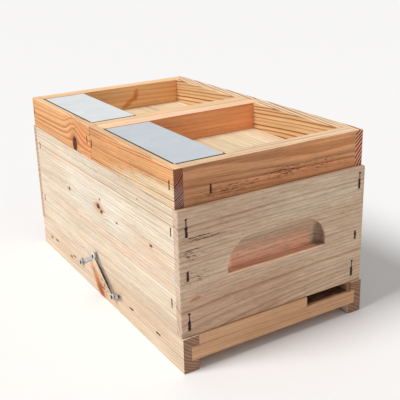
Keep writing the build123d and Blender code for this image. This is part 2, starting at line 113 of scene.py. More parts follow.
def group(name, inputs, outputs):
    """An empty node group: its graph, input sockets and output sockets, which are listed by kind."""
    tree = bpy.data.node_groups.new(name, "ShaderNodeTree")
    kinds = {"value": "NodeSocketFloat", "vector": "NodeSocketVector", "colour": "NodeSocketColor"}
    for in_out, labels in (("INPUT", inputs), ("OUTPUT", outputs)):
        for kind, names in labels.items():
            for label in names:
                tree.interface.new_socket(label, in_out=in_out, socket_type=kinds[kind])
    graph = Graph(tree)
    start = graph.node("NodeGroupInput").outputs
    end = graph.node("NodeGroupOutput").inputs
    return graph, start, end


def colour(red, green, blue):
    """A colour given as it looks on screen, 0 to 255, as linear light."""

    def linear(value):
        value = value / 255
        return value / 12.92 if value <= 0.04045 else ((value + 0.055) / 1.055) ** 2.4

    return (linear(red), linear(green), linear(blue), 1.0)


# ---------------------------------------------------------------- wood
WARM = (1.0, 0.93, 0.86, 1.0)
SAWN_RING = (0.34, 0.28, 0.32, 1.0)
KNOT_HALO = (0.86, 0.60, 0.42, 1.0)
KNOT_LIGHT, KNOT_DARK = colour(104, 50, 32), colour(38, 18, 14)
TORN_WOOD = colour(88, 44, 26)
# Staple stains and cracks, and the painted shadow of the gaps beside the cover plates
IRON_STAIN_AND_GAP_SHADE = colour(40, 24, 17)
# Dust and painted shade in the joints and inner corners
JOINT_DUST_AND_SHADE = (0.46, 0.32, 0.24, 1.0)
RUBBED = (1.22, 1.18, 1.14, 1.0)
# How far from a joint its dust and painted shade reach, and from an arris its rubbing
JOINT_REACH = 2.5 * MM
ARRIS_REACH = 1.6 * MM
# Stains and painted gap shadow lines have edges this soft
STAIN_SOFT = 0.3 * MM
# Torn wood's dashes to the metre, along and across the grain
DASH_ALONG, DASH_ACROSS = 125.0, 900.0
WOOD_ROUGHNESS, WOOD_SPECULAR = 0.64, 0.2


def make_timber_group():
    """Solid wood: growth rings round a pith that runs along X, with fibres, streaks and end grain."""
    inputs = {
        "vector": ["Place"],
        "value": ["End", "End shade", "Ring", "Fine", "Uneven", "Waver", "Contrast", "Texture", "Seed"],
        "colour": ["End tint", "Early", "Late", "Heart"],
    }
    g, start, end = group("timber", inputs, {"colour": ["Colour"], "value": ["Height"]})
    seed = start["Seed"]
    place = g.vector("ADD", start["Place"], g.combine(g.math("MULTIPLY", seed, 3.7), 0, 0))

    # The stem isn't straight: the rings waver slowly along it and a little across it
    slow = g.streaks(place, 2.6, 7.0, detail=1.5, colour=True)
    half = (0.5, 0.5, 0.5)
    waver = g.vector("SCALE", g.vector("SUBTRACT", slow, half), scale=start["Waver"])
    quick = g.streaks(place, 12.0, 55.0, colour=True)
    ripple_size = g.math("MULTIPLY", start["Ring"], 0.55)
    ripple = g.vector("SCALE", g.vector("SUBTRACT", quick, half), scale=ripple_size)
    _, across, up = g.parts(g.vector("ADD", g.vector("ADD", start["Place"], waver), ripple))
    radius = g.hypot(across, up)

    # Years differ in width, and in how dark their late wood is
    turns = g.math("DIVIDE", radius, start["Ring"])
    years = g.noise(g.combine(g.math("MULTIPLY", turns, 0.35), seed, 0), detail=1.0)
    turns = g.math("ADD", turns, g.math("MULTIPLY", years, start["Uneven"]))
    within = g.math("FRACT", turns)
    late = g.math("MULTIPLY", g.step(within, start["Fine"], 0.86), g.step(within, 0.92, 1.0, 1.0, 0.0))
    year = g.math("ADD", g.math("FLOOR", turns), seed)
    strength = g.node("ShaderNodeTexWhiteNoise", {"W": year}, noise_dimensions="1D").outputs["Value"]
    late = g.math("MULTIPLY", late, g.step(strength, 0.0, 1.0, 0.3, 1.0))
    late = g.math("MULTIPLY", late, start["Contrast"], clamp=True)

    fibre = g.streaks(place, 26.0, 900.0, roughness=0.65)
    grain = g.streaks(place, 9.0, 300.0, detail=3.0, roughness=0.62)
    streak = g.streaks(place, 3.0, 80.0, detail=3.0, roughness=0.6)
    cloud = g.streaks(place, 5.0, 15.0)

    # The wood right round the pith is darker
    body = g.mix(late, start["Early"], start["Late"])
    to_heart = g.math("ADD", radius, g.swing(cloud, 30 * MM))
    body = g.mix(g.step(to_heart, 4 * MM, -4 * MM, 0.0, 0.75), body, start["Heart"])

    shade = g.math("ADD", g.swing(fibre, 0.36), g.swing(grain, 0.52))
    shade = g.math("ADD", g.math("ADD", shade, g.swing(streak, 0.26)), g.swing(cloud, 0.26))
    # Resin canals: short thin dark dashes
    canals = g.streaks(place, 70.0, 1100.0, detail=1.0)
    shade = g.math("SUBTRACT", shade, g.step(canals, 0.60, 0.74, 0.0, 0.16))
    shade = g.math("ADD", 1.0, g.math("MULTIPLY", shade, start["Texture"]))
    # Blotches are warmer where they are darker
    warm = g.step(g.math("ADD", g.swing(cloud, 1.0), g.swing(streak, 0.7)), -0.25, 0.25)
    body = g.mix(1.0, body, g.mix(warm, WARM, WHITE), "MULTIPLY")

    # End grain soaks up light: darker and browner, with pores
    pores = g.streaks(place, 500.0, 1500.0)
    sawn = g.mix(1.0, body, start["End tint"], "MULTIPLY")
    rings = g.mix(1.0, start["Late"], start["End tint"], "MULTIPLY")
    rings = g.mix(1.0, rings, SAWN_RING, "MULTIPLY")
    band = g.math("MULTIPLY", g.step(within, 0.32, 0.62), g.step(within, 0.90, 1.0, 1.0, 0.0))
    band = g.math("MULTIPLY", band, g.math("POWER", start["Contrast"], 2.0), clamp=True)
    sawn = g.mix(g.math("MULTIPLY", band, 0.88), sawn, rings)
    end_grain = g.math("MULTIPLY", start["End"], start["End shade"])
    body = g.mix(end_grain, body, sawn)
    shade = g.math("ADD", shade, g.math("MULTIPLY", start["End"], g.swing(pores, 0.5)))
    g.put(end["Colour"], g.vector("SCALE", body, scale=shade))

    relief = g.math("ADD", g.math("MULTIPLY", fibre, 0.5), g.math("MULTIPLY", late, 0.45))
    relief = g.math("ADD", relief, g.math("MULTIPLY", grain, 0.6))
    g.put(end["Height"], g.math("ADD", relief, g.math("MULTIPLY", start["End"], pores)))
    return g.tree


def make_knot_group():
    """A branch through the wood: the grain flows round it, and its own wood is dark and ringed."""
    inputs = {"vector": ["Place", "Centre", "Grain", "Across"], "value": ["Radius", "Stretch"]}
    outputs = {"vector": ["Offset"], "value": ["Mask", "Halo", "Ring"]}
    g, start, end = group("knot", inputs, outputs)
    rel = g.vector("SUBTRACT", start["Place"], start["Centre"])
    along = g.math("DIVIDE", g.vector("DOT_PRODUCT", rel, start["Grain"]), start["Stretch"])
    across = g.vector("DOT_PRODUCT", rel, start["Across"])
    ragged = g.noise(g.vector("SCALE", start["Place"], scale=160.0), detail=2.0)
    near = g.math("DIVIDE", g.hypot(along, across), start["Radius"])
    near = g.math("ADD", near, g.swing(ragged, 1.0))
    swell = g.math("EXPONENT", g.math("MULTIPLY", g.math("MULTIPLY", near, near), -0.11))
    push = g.math("MULTIPLY", g.math("MULTIPLY", across, swell), -0.88)
    g.put(end["Offset"], g.vector("SCALE", start["Across"], scale=push))
    g.put(end["Mask"], g.step(near, 1.12, 0.85))
    g.put(end["Halo"], g.step(near, 3.0, 0.9))
    g.put(end["Ring"], g.math("SINE", g.math("MULTIPLY", near, 13.0)))
    return g.tree


def make_scar_group():
    """A rough patch where the plane tore the wood: short dark dashes along the grain."""
    inputs = {"vector": ["Place", "Centre", "Reach", "Dash"], "value": ["Amount"]}
    g, start, end = group("scar", inputs, {"value": ["Mask"]})
    rel = g.vector("DIVIDE", g.vector("SUBTRACT", start["Place"], start["Centre"]), start["Reach"])
    patch = g.step(g.vector("LENGTH", rel), 1.0, 0.2)
    dashes = g.noise(g.vector("MULTIPLY", start["Place"], start["Dash"]), detail=3.0, roughness=0.62)
    level = g.math("ADD", dashes, g.math("MULTIPLY", g.math("MULTIPLY", patch, start["Amount"]), 0.12))
    g.put(end["Mask"], g.math("MULTIPLY", g.step(level, 0.60, 0.70), patch))
    return g.tree


def make_tint_group():
    """A soft-edged streak or blotch of another wood colour, long along one direction."""
    inputs = {"vector": ["Place", "Centre", "Along"], "value": ["Length", "Width", "Ragged"]}
    g, start, end = group("tint", inputs, {"value": ["Mask"]})
    rel = g.vector("SUBTRACT", start["Place"], start["Centre"])
    along = g.vector("DOT_PRODUCT", rel, start["Along"])
    beside = g.vector("LENGTH", g.vector("SUBTRACT", rel, g.vector("SCALE", start["Along"], scale=along)))
    along = g.math("DIVIDE", along, start["Length"])
    beside = g.math("DIVIDE", beside, start["Width"])
    away = g.math("ADD", g.hypot(along, beside), g.swing(start["Ragged"], 1.1))
    g.put(end["Mask"], g.step(away, 1.25, 0.55))
    return g.tree


def make_patch_group():
    """A box-shaped patch whose outline can be soft or splintered."""
    inputs = {"vector": ["Place", "Centre", "Half"], "value": ["Noise", "Ragged", "Soft"]}
    g, start, end = group("patch", inputs, {"value": ["Mask"]})
    rel = g.vector("ABSOLUTE", g.vector("SUBTRACT", start["Place"], start["Centre"]))
    out_x, out_y, out_z = g.parts(g.vector("SUBTRACT", rel, start["Half"]))
    out = g.math("MAXIMUM", g.math("MAXIMUM", out_x, out_y), out_z)
    out = g.math("ADD", out, g.swing(start["Noise"], start["Ragged"]))
    g.put(end["Mask"], g.step(out, start["Soft"], g.math("MULTIPLY", start["Soft"], -1.0)))
    return g.tree


TIMBER = make_timber_group()
KNOT = make_knot_group()
SCAR = make_scar_group()
TINT = make_tint_group()
PATCH = make_patch_group()

# How the grain frame, whose X is along the grain, is turned for boards along each axis
GRAIN_TURN = {"X": (0.0, 0.0, 0.0), "Y": (0.0, 0.0, pi / 2), "Z": (0.0, -pi / 2, 0.0)}
GRAIN_AXIS = {"X": X_AXIS, "Y": Y_AXIS, "Z": Z_AXIS}


def use(g, tree, **inputs):
    """A group node with its inputs set; underscores in names stand for spaces."""
    made = g.node("ShaderNodeGroup", node_tree=tree)
    for key, value in inputs.items():
        g.put(made.inputs[key.replace("_", " ")], value)
    return made.outputs


def wood(
    name,
    grain,
    pith,
    early,
    late,
    heart,
    ring,
    contrast,
    seed,
    tilt=(0.0, 0.0),
    waver=0.010,
    fine=0.25,
    uneven=2.4,
    end_shade=1.0,
    end_tint=(0.62, 0.47, 0.42),
    top=None,
    texture=1.0,
    knots=(),
    patches=(),
    tints=(),
    scars=(),
    marks=(),
):
    """Bare planed wood, in metres.

    pith is a point on the pith, and tilt turns the grain up and sideways, in degrees. early, late and
    heart are the colours of a ring's early and late wood and of the wood round the pith. ring is a
    ring's width, fine the share of it before the late wood sets in, uneven how much rings differ, waver
    how far they stray and contrast how dark late wood is. end_tint colours sawn ends, by end_shade, and
    top colours faces that look up. texture is the strength of fibres and streaks.
    """
    material, g = new_material(name)
    coordinates = g.node("ShaderNodeTexCoord").outputs
    place, normal = coordinates["Object"], coordinates["Normal"]
    axis = GRAIN_AXIS[grain]
    roll, up, sideways = GRAIN_TURN[grain]
    rotation = (roll, up + radians(tilt[0]), sideways + radians(tilt[1]))

    # Knots push the grain aside
    bent = place
    mask, halo, rings = 0.0, 0.0, 0.0
    for centre, face, radius, stretch, run in knots:
        sizes = {"Across": tuple(face.cross(run)), "Radius": radius, "Stretch": stretch}
        knot = use(g, KNOT, Place=place, Centre=tuple(centre), Grain=tuple(run), **sizes)
        bent = g.vector("ADD", bent, knot["Offset"])
        mask = g.math("MAXIMUM", mask, knot["Mask"])
        halo = g.math("MAXIMUM", halo, knot["Halo"])
        rings = g.math("ADD", rings, knot["Ring"])

    mapping = {"Vector": bent, "Location": tuple(pith), "Rotation": rotation}
    framed = g.node("ShaderNodeMapping", mapping, vector_type="TEXTURE").outputs[0]
    facing = g.math("ABSOLUTE", g.vector("DOT_PRODUCT", normal, tuple(axis)))
    timber = use(
        g,
        TIMBER,
        Place=framed,
        End=g.step(facing, 0.45, 0.85),
        End_shade=end_shade,
        End_tint=(*end_tint, 1.0),
        Fine=fine,
        Uneven=uneven,
        Ring=ring,
        Waver=waver,
        Contrast=contrast,
        Early=early,
        Late=late,
        Heart=heart,
        Texture=texture,
        Seed=seed,
    )
    body, height = timber["Colour"], timber["Height"]
    # Faces that look up are made paler and lighter than the sides
    if top:
        upward = g.step(g.vector("DOT_PRODUCT", normal, tuple(Z_AXIS)), 0.4, 0.9)
        body = g.stain(upward, body, (*top, 1.0))

    ragged = g.streaks(framed, 45.0, 170.0, detail=3.0, roughness=0.6)
    for centre, half, soft, shade in patches:
        inputs = {"Centre": tuple(centre), "Half": tuple(half), "Ragged": 2 * soft, "Soft": soft}
        area = use(g, PATCH, Place=place, Noise=ragged, **inputs)["Mask"]
        body = g.stain(area, body, (*shade, 1.0))
    for centre, along, length, width, shade in tints:
        inputs = {"Centre": tuple(centre), "Along": tuple(along), "Length": length, "Width": width}
        blotch = use(g, TINT, Place=place, Ragged=ragged, **inputs)["Mask"]
        body = g.stain(blotch, body, (*shade, 1.0))
    if knots:
        body = g.stain(g.math("MULTIPLY", halo, 0.6), body, KNOT_HALO)
        core = g.mix(g.step(g.math("ADD", rings, ragged), -0.4, 1.2), KNOT_LIGHT, KNOT_DARK)
        body = g.mix(g.math("MULTIPLY", mask, 0.95), body, core)
        height = g.math("SUBTRACT", height, g.math("MULTIPLY", mask, 0.5))
    dash = tuple(DASH_ALONG if abs(part) > 0.5 else DASH_ACROSS for part in axis)
    for centre, reach, amount in scars:
        inputs = {"Centre": tuple(centre), "Reach": tuple(reach), "Dash": dash, "Amount": amount}
        torn = use(g, SCAR, Place=place, **inputs)["Mask"]
        body = g.mix(g.math("MULTIPLY", torn, 0.85), body, TORN_WOOD)
        height = g.math("SUBTRACT", height, g.math("MULTIPLY", torn, 2.5))
    splinter = g.streaks(framed, 260.0, 900.0, roughness=0.6)
    # Staples stain the wood round them and cracks are dark; the gap lines are painted shadow
    for centre, half, splintered in marks:
        sizes = {"Half": tuple(half), "Ragged": splintered * MM, "Soft": STAIN_SOFT}
        stain = use(g, PATCH, Place=place, Noise=splinter, Centre=tuple(centre), **sizes)["Mask"]
        body = g.mix(g.math("MULTIPLY", stain, 0.94), body, IRON_STAIN_AND_GAP_SHADE)
        height = g.math("SUBTRACT", height, g.math("MULTIPLY", stain, 1.5))

    # Dust and shade in the joints
    reach = {"Distance": JOINT_REACH}
    crevice = g.node("ShaderNodeAmbientOcclusion", reach, samples=4).outputs["AO"]
    body = g.stain(g.step(crevice, 0.62, 0.30), body, JOINT_DUST_AND_SHADE)
    # Arrises are rubbed pale and smooth
    reach = {"Distance": ARRIS_REACH}
    solid = g.node("ShaderNodeAmbientOcclusion", reach, samples=4, inside=True).outputs["AO"]
    arris = g.math("MULTIPLY", g.step(solid, 0.72, 0.40), g.step(ragged, 0.30, 0.60))
    body = g.stain(arris, body, RUBBED)
    rough = g.math("ADD", WOOD_ROUGHNESS, g.math("MULTIPLY", ragged, 0.20))
    rough = g.math("SUBTRACT", rough, g.math("MULTIPLY", arris, 0.12))
    inputs = {"Base Color": body, "Roughness": rough, "Normal": g.bump(height, 0.45, 0.6 * MM)}
    shader = g.node("ShaderNodeBsdfPrincipled", inputs)
    shader.inputs["Specular IOR Level"].default_value = WOOD_SPECULAR
    g.node("ShaderNodeOutputMaterial", {"Surface": shader.outputs[0]})
    return material


# ---------------------------------------------------------------- metal and wax
# Painted shade for recesses and shadow lines on the metal
METAL_SHADE = colour(40, 34, 28)
CELL_WIDTH = 5.4 * MM


def metal(name, base, roughness, metallic=1.0, mottle=0.12, shade_spots=()):
    """Zinc-coated steel, slightly mottled and finely scratched.

    shade_spots holds painted shade: a place, a direction, a half length and a half width, in metres.
    """
    material, g = new_material(name)
    place = g.node("ShaderNodeTexCoord").outputs["Object"]
    cloud = g.noise(g.vector("SCALE", place, scale=34.0), detail=4.0, roughness=0.6)
    fine = g.noise(g.vector("SCALE", place, scale=300.0), detail=3.0)
    shade = g.math("ADD", g.math("ADD", 1.0, g.swing(cloud, mottle)), g.swing(fine, mottle))
    body = g.vector("SCALE", base[:3], scale=shade)
    rough = g.math("ADD", roughness - 0.1, g.math("MULTIPLY", cloud, 0.2))
    # Painted shade darkens and roughens the metal here
    for centre, along, length, width in shade_spots:
        inputs = {"Centre": tuple(centre), "Along": tuple(along), "Length": length, "Width": width}
        shade_mask = use(g, TINT, Place=place, Ragged=0.5, **inputs)["Mask"]
        body = g.mix(shade_mask, body, METAL_SHADE)
        rough = g.math("MAXIMUM", rough, g.math("MULTIPLY", shade_mask, 0.8))
    inputs = {"Base Color": body, "Roughness": rough, "Normal": g.bump(fine, 0.3, 0.2 * MM)}
    shader = g.node("ShaderNodeBsdfPrincipled", inputs)
    shader.inputs["Metallic"].default_value = metallic
    g.node("ShaderNodeOutputMaterial", {"Surface": shader.outputs[0]})
    return material


def beeswax():
    """Foundation sheet: honey-yellow wax embossed with hexagon cells."""
    material, g = new_material("beeswax")
    place = g.node("ShaderNodeTexCoord").outputs["Object"]
    _, y, z = g.parts(place)
    row = CELL_WIDTH * sqrt(3) / 2

    def off(value, shift, spacing):
        """How far a value is from the nearest of a row of evenly spaced points."""
        value = g.math("ADD", value, shift)
        nearest = g.math("MULTIPLY", g.math("ROUND", g.math("DIVIDE", value, spacing)), spacing)
        return g.math("SUBTRACT", value, nearest)

    def lattice(shift_y, shift_z):
        """Distance to the nearest point of a rectangular lattice."""
        return g.hypot(off(y, shift_y, CELL_WIDTH), off(z, shift_z, 2 * row))

    away = g.math("MINIMUM", lattice(0.0, 0.0), lattice(CELL_WIDTH / 2, row))
    wall = g.step(away, CELL_WIDTH * 0.36, CELL_WIDTH * 0.5)
    cloud = g.noise(g.vector("SCALE", place, scale=20.0), detail=3.0)
    body = g.mix(cloud, colour(226, 178, 78), colour(238, 200, 110))
    body = g.mix(g.math("MULTIPLY", wall, 0.35), body, colour(190, 132, 44))
    inputs = {"Base Color": body, "Roughness": 0.5, "Normal": g.bump(wall, 0.8, 1.2 * MM)}
    shader = g.node("ShaderNodeBsdfPrincipled", inputs)
    shader.inputs["Subsurface Weight"].default_value = 0.15
    shader.inputs["Subsurface Scale"].default_value = 4 * MM
    g.node("ShaderNodeOutputMaterial", {"Surface": shader.outputs[0]})
    return material


def dress(node, material):
    """Gives a CAD node its material."""
    slots = NODES[node].material_slots
    for slot in slots:
        slot.material = material
    if not slots:
        NODES[node].data.materials.append(material)


# ---------------------------------------------------------------- which wood is which
def middle(node):
    """The middle of a node's box."""
    low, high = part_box(node)
    return (low + high) / 2


CREAM = {"early": colour(225, 213, 194), "late": colour(186, 150, 118), "heart": colour(222, 184, 154)}
GREY_BEIGE = {"early": colour(214, 187, 161), "late": colour(164, 127, 99), "heart": colour(206, 154, 124)}
PINKISH = {"early": colour(222, 205, 184), "late": colour(182, 143, 112), "heart": colour(214, 160, 126)}
ORANGE = {"early": colour(226, 172, 120), "late": colour(168, 96, 54), "heart": colour(208, 136, 84)}
HONEY = {"early": colour(224, 188, 142), "late": colour(158, 98, 56), "heart": colour(208, 146, 96)}
TAN = {"early": colour(214, 158, 117), "late": colour(158, 98, 60), "heart": colour(190, 118, 74)}
BUFF = {"early": colour(222, 178, 140), "late": colour(178, 128, 92), "heart": colour(206, 152, 112)}
# RED and AMBER are made brighter, as painted bounce light on the feeders' inner rear walls
RED = {"early": colour(252, 180, 128), "late": colour(196, 112, 70), "heart": colour(214, 128, 84)}
AMBER = {"early": colour(254, 206, 152), "late": colour(224, 132, 86), "heart": colour(226, 146, 98)}
PALE = {"early": colour(232, 216, 186), "late": colour(206, 178, 138), "heart": colour(224, 194, 152)}
# Faces that look up are made paler and lighter than the sides
UPWARD_TINT = (1.22, 1.60, 2.14)

LEFT_FACE, RIGHT_FACE, FRONT_FACE, REAR_FACE = -X_AXIS, X_AXIS, -Y_AXIS, Y_AXIS
# Larger than one staple or screw head, smaller than the gap to the next
ISLAND = 12 * MM
# How ragged the edges of staple stains, painted gap shadow lines and cracks are, in millimetres
STAIN_RAGGED, LINE_RAGGED, CRACK_RAGGED = 4.5, 0.3, 1.8
STAIN_DEPTH = 3 * MM


def islands(node, keep):
    """Boxes round the separate groups of a node's vertices, of the vertices that keep accepts."""
    groups = []
    for vertex in NODES[node].data.vertices:
        point = NODES[node].matrix_world @ vertex.co
        if not keep(point):
            continue
        near = [points for points in groups if (points[0] - point).length < ISLAND]
        if near:
            near[0].append(point)
        else:
            groups.append([point])
    return [(Vector(map(min, zip(*points))), Vector(map(max, zip(*points)))) for points in groups]


def staple_marks(node, staples, face, spread=0.7):
    """Centre, half size and raggedness of the stain round each staple driven into one face of a board.

    spread is how far the stain goes past the wire, in millimetres.
    """
    low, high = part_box(node)
    out = max(range(3), key=lambda side: abs(face[side]))
    surface = (high if face[out] > 0 else low)[out]
    crown_reach = 1.2 * MM

    def on_board(point):
        over = all(low[side] - MM < point[side] < high[side] + MM for side in range(3))
        return over and abs(point[out] - surface) < crown_reach

    marks = []
    for start, end in islands(staples, on_board):
        half = (end - start) / 2 + Vector((spread, spread, spread)) * MM
        half[out] = STAIN_DEPTH
        marks.append(((start + end) / 2, half, STAIN_RAGGED))
    return marks


def board(
    node,
    grain,
    offset,
    colours,
    knots=(),
    patches=(),
    tints=(),
    scars=(),
    stapled=(),
    lines=(),
    cracks=(),
    **looks,
):
    """Wood for one board.

    offset is from the board's middle to its pith, and every place below is an offset from that middle
    too, in millimetres as all lengths here are, but for lines and for the looks that wood takes.
    knots: a place, the face's normal, the radius, the stretch, and its direction if not the grain's.
    patches: a place, a half size, a softness and a tint.
    tints: a place, a direction, a half length, a half width and a tint.
    scars: a place, a reach and an amount.
    stapled: a staple node, the face, and how far the stains spread if not the usual.
    lines: a painted gap shadow's middle in the hive and its half size, in metres.
    cracks: a place and a half size.
    """
    centre = middle(node)

    def at(place):
        return centre + Vector(place) * MM

    def direction(along=GRAIN_AXIS[grain]):
        return Vector(along).normalized()

    looks["knots"] = [
        (at(place), face, radius * MM, stretch, direction(*along))
        for place, face, radius, stretch, *along in knots
    ]
    looks["tints"] = [
        (at(place), direction(along), length * MM, width * MM, shade)
        for place, along, length, width, shade in tints
    ]
    looks["scars"] = [(at(place), Vector(reach) * MM, amount) for place, reach, amount in scars]
    looks["patches"] = [
        (at(place), Vector(half) * MM, soft * MM, shade) for place, half, soft, shade in patches
    ]
    looks["marks"] = [mark for driven in stapled for mark in staple_marks(node, *driven)]
    looks["marks"] += [(place, half, LINE_RAGGED) for place, half in lines]
    looks["marks"] += [(at(place), Vector(half) * MM, CRACK_RAGGED) for place, half in cracks]
    dress(node, wood(f"wood_{node}", grain, at(offset), **colours, **looks))


RUST = (0.92, 0.66, 0.46)
ROSY = (1.02, 0.94, 0.90)
STRAW = (1.06, 1.62, 2.45)
# Painted shade for the planks inside the entrances
ENTRANCE_SHADE = (0.15, 0.11, 0.09)
FLAME = (0.80, 0.56, 0.42)


def dress_floor():
    # A spike knot runs up across the left runner, in reddish wood
    spike = (0, 46, 44)
    left_tints = [
        ((-11.5, 16, 0), spike, 34, 10, RUST),
        ((-11.5, 6, -14), spike, 26, 11, (0.80, 0.52, 0.38)),
        ((-11.5, 2, -21), (0, 30, 34), 18, 6, (0.72, 0.50, 0.40)),
        ((-11.5, -16, -4), spike, 50, 22, ROSY),
    ]
    left_knots = [
        ((-11.5, 121, -5), LEFT_FACE, 2.0, 1.6),
        ((-11.5, 213, -3), LEFT_FACE, 2.2, 1.6),
        ((-11.5, 26, 8), LEFT_FACE, 1.0, 5.0, spike),
    ]
    board(
        "floor_side_left",
        "Y",
        (60, 0, 95),
        PINKISH,
        knots=left_knots,
        tints=left_tints,
        scars=[((-11.5, -8, -6), (4, 34, 22), 1.0)],
        end_tint=(0.57, 0.42, 0.36),
        stapled=[("floor_staples", LEFT_FACE)],
        tilt=(1.2, 0.4),
        ring=0.0042,
        contrast=0.6,
        seed=2.0,
    )
    board(
        "floor_side_right",
        "Y",
        (-50, 0, -80),
        PINKISH,
        patches=[((-11.5, -250, 17), (4, 30, 9), 2.0, (0.62, 0.48, 0.40))],
        end_tint=(0.55, 0.39, 0.32),
        stapled=[("floor_staples", RIGHT_FACE)],
        tilt=(-1.0, 0.5),
        ring=0.0040,
        contrast=0.6,
        seed=3.0,
    )
    # Painted shade darkens the planks just inside both entrances
    stains = {
        1: [((87, -22, 10), (40, 36, 3), 5.0, ENTRANCE_SHADE)],
        4: [((-87, 22, 10), (40, 36, 3), 5.0, ENTRANCE_SHADE)],
    }
    for number in range(1, 5):
        offset = (30 * number - 90, 0, -130 + 25 * number)
        looks = {"tilt": (0.8, -0.6), "ring": 0.0045, "contrast": 0.5, "seed": 3.0 + number}
        board(f"floor_plank_{number}", "X", offset, BUFF, patches=stains.get(number, ()), **looks)
    bar = {"ring": 0.0045, "contrast": 0.45}
    board("front_entrance_bar", "X", (0, -40, -120), BUFF, tilt=(0.8, 0.2), seed=4.0, **bar)
    board("rear_entrance_bar", "X", (0, 40, -120), BUFF, tilt=(-0.8, 0.2), seed=8.5, **bar)
    board("floor_divider", "X", (0, 40, -120), PALE, seed=8.0, **bar)


def dress_box():
    left_knots = [
        ((-11.5, -13, 17), LEFT_FACE, 3.8, 1.5),
        ((-11.5, -24, 12), LEFT_FACE, 2.6, 1.7),
        ((-11.5, 100, 12), LEFT_FACE, 2.2, 1.5),
        ((-11.5, -75, 11), LEFT_FACE, 1.2, 2.2),
        ((-11.5, -20, 30), LEFT_FACE, 1.3, 1.6),
        ((-11.5, -178, 15), LEFT_FACE, 1.6, 2.4),
        ((-11.5, -145, 69), LEFT_FACE, 0.9, 1.0),
    ]
    left_tints = [
        ((-11.5, 60, 52), Y_AXIS, 150, 8, ROSY),
        ((-11.5, -60, -20), Y_AXIS, 190, 12, ROSY),
        ((-11.5, -180, 4), Y_AXIS, 60, 16, ROSY),
        ((-11.5, 0, 22), Y_AXIS, 110, 64, (1.05, 1.14, 1.24)),
        ((-11.5, -14, 15), Y_AXIS, 24, 12, (0.98, 0.86, 0.82)),
    ]
    board(
        "box_side_left",
        "Y",
        (-70, 0, 150),
        CREAM,
        knots=left_knots,
        tints=left_tints,
        stapled=[("box_staples", LEFT_FACE)],
        tilt=(0.7, 0.3),
        ring=0.0034,
        fine=0.4,
        contrast=0.85,
        texture=1.3,
        seed=5.0,
    )
    board(
        "box_side_right",
        "Y",
        (80, 0, -140),
        CREAM,
        knots=[((11.5, 60, -30), RIGHT_FACE, 6.0, 1.5), ((11.5, -130, 42), RIGHT_FACE, 2.5, 1.5)],
        stapled=[("box_staples", RIGHT_FACE)],
        tilt=(0.6, 0.2),
        ring=0.0042,
        contrast=0.55,
        seed=6.0,
    )
    # The hand recess has painted shade over its inside and at its right end, painted light on its lower
    # back, its left rim and the ledge's arris, and a pinkish back; the last patch lightens the board's left
    # end
    recess_light_and_tints = [
        ((0, -3, 1), (84, 7, 26), 1.0, (0.78, 0.76, 0.74)),
        ((-5, 3, -8.5), (68, 4.5, 21.5), 4.0, (1.10, 0.84, 0.78)),
        ((-5, 3, -13), (68, 4.5, 17), 4.0, (1.40, 1.32, 1.32)),
        ((80, -1.5, 4), (11, 7, 20), 2.5, (0.60, 0.58, 0.60)),
        ((-5, 3, -19), (68, 4.5, 9), 4.0, (1.30, 1.26, 1.26)),
        ((-68.5, 2, -1), (3.5, 6, 15), 2.0, (1.24, 1.36, 1.40)),
        ((1, -8, -15), (77, 6, 1.4), 0.5, (1.40, 1.22, 1.16)),
        ((-147.5, 0, 0), (1, 14, 90), 0.5, (1.08, 1.20, 1.32)),
    ]
    front_tints = [
        ((-62, -11.5, -56), X_AXIS, 120, 40, (0.88, 0.79, 0.75)),
        ((60, -11.5, 62), X_AXIS, 95, 26, (1.04, 1.11, 1.15)),
        ((-80, -11.5, 62), X_AXIS, 85, 26, (0.93, 0.91, 0.92)),
        ((-127, -11.5, -35), (1, 0, 0.2), 10, 3, (0.86, 0.56, 0.46)),
    ]
    front_scars = [
        ((-112, -11.5, 44), (46, 5, 4), 1.1),
        ((-130, -11.5, 27), (30, 5, 14), 0.9),
        ((-124, -11.5, -6), (34, 5, 22), 0.4),
    ]
    board(
        "box_front",
        "X",
        (0, 19, -100),
        GREY_BEIGE,
        patches=recess_light_and_tints,
        scars=front_scars,
        tints=front_tints,
        stapled=[("box_staples", FRONT_FACE, 1.2), ("box_staples", LEFT_FACE)],
        cracks=[((-118, -11.5, 47.5), (15, 3, 0.5)), ((-128, -11.5, 32), (9, 3, 0.4))],
        tilt=(0.4, -6.0),
        ring=0.0056,
        fine=0.5,
        waver=0.012,
        contrast=0.66,
        texture=1.3,
        end_shade=0.25,
        seed=7.0,
    )
    board(
        "box_rear",
        "X",
        (-30, -70, -105),
        GREY_BEIGE,
        stapled=[("box_staples", REAR_FACE)],
        tilt=(-2.0, 0.0),
        ring=0.0066,
        waver=0.02,
        contrast=0.6,
        end_shade=0.25,
        seed=9.0,
    )
    board("partition", "X", (0, 60, -80), PALE, ring=0.005, contrast=0.5, seed=10.0)


def plate_gap_shadow(feeder):
    """Painted shadow lines for the gaps along the left and the front edge of a cover plate."""
    low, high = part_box(f"{feeder}_cover_plate")
    side_line = 1.5 * MM
    front_line = 1.9 * MM
    middle_x, middle_y, _ = (low + high) / 2
    half_x, half_y, _ = (high - low) / 2
    left = (Vector((low.x - side_line, middle_y, high.z)), Vector((side_line, half_y, STAIN_DEPTH)))
    front = (Vector((middle_x, low.y - front_line, high.z)), Vector((half_x, front_line, STAIN_DEPTH)))
    return left, front


